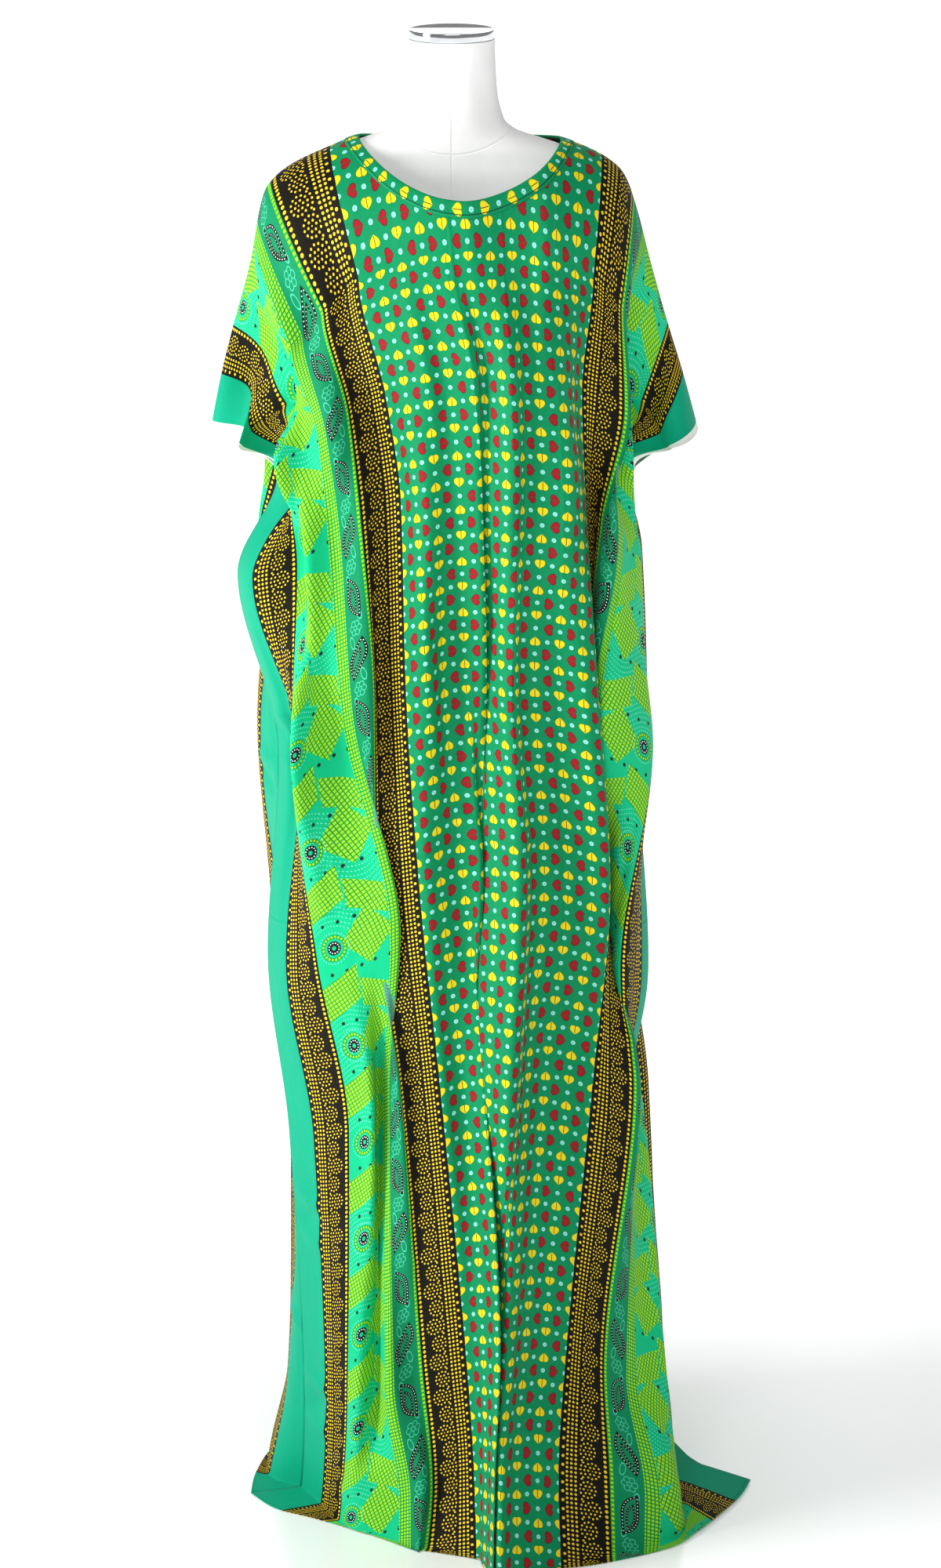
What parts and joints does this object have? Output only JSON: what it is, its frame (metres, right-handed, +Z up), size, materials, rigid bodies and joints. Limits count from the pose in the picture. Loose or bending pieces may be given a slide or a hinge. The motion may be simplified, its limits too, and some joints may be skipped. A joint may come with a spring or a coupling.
{
  "type": "bati dress on a dress form",
  "caption": "Floor-length loose printed cotton dress with wide cut-on sleeves and a bound round neck, hanging on a limbless dress form with a round base.",
  "frame": {"origin": "on the floor, under the middle of the stand's round base", "axes": "+Z up, the wearer's front faces -Y, +X towards the wearer's left side (the viewer's right seen from the front)"},
  "size_m": [0.6108, 0.4609, 1.7],
  "materials": {
    "printed_cotton": "emerald green printed cotton with black, gold, yellow and red motifs",
    "binding_cotton": "bias strip of the same print",
    "cover_cotton": "fine white jersey cover",
    "chrome": "polished",
    "steel_tube": "satin",
    "base_plate": "satin white"
  },
  "bodies": {
    "root": {"dress_front": "printed_cotton", "dress_back": "printed_cotton", "neck_binding": "binding_cotton", "form_body": "cover_cotton", "neck_cap": "chrome", "stand_pole": "steel_tube", "stand_base": "base_plate"}
  },
  "joints": []
}
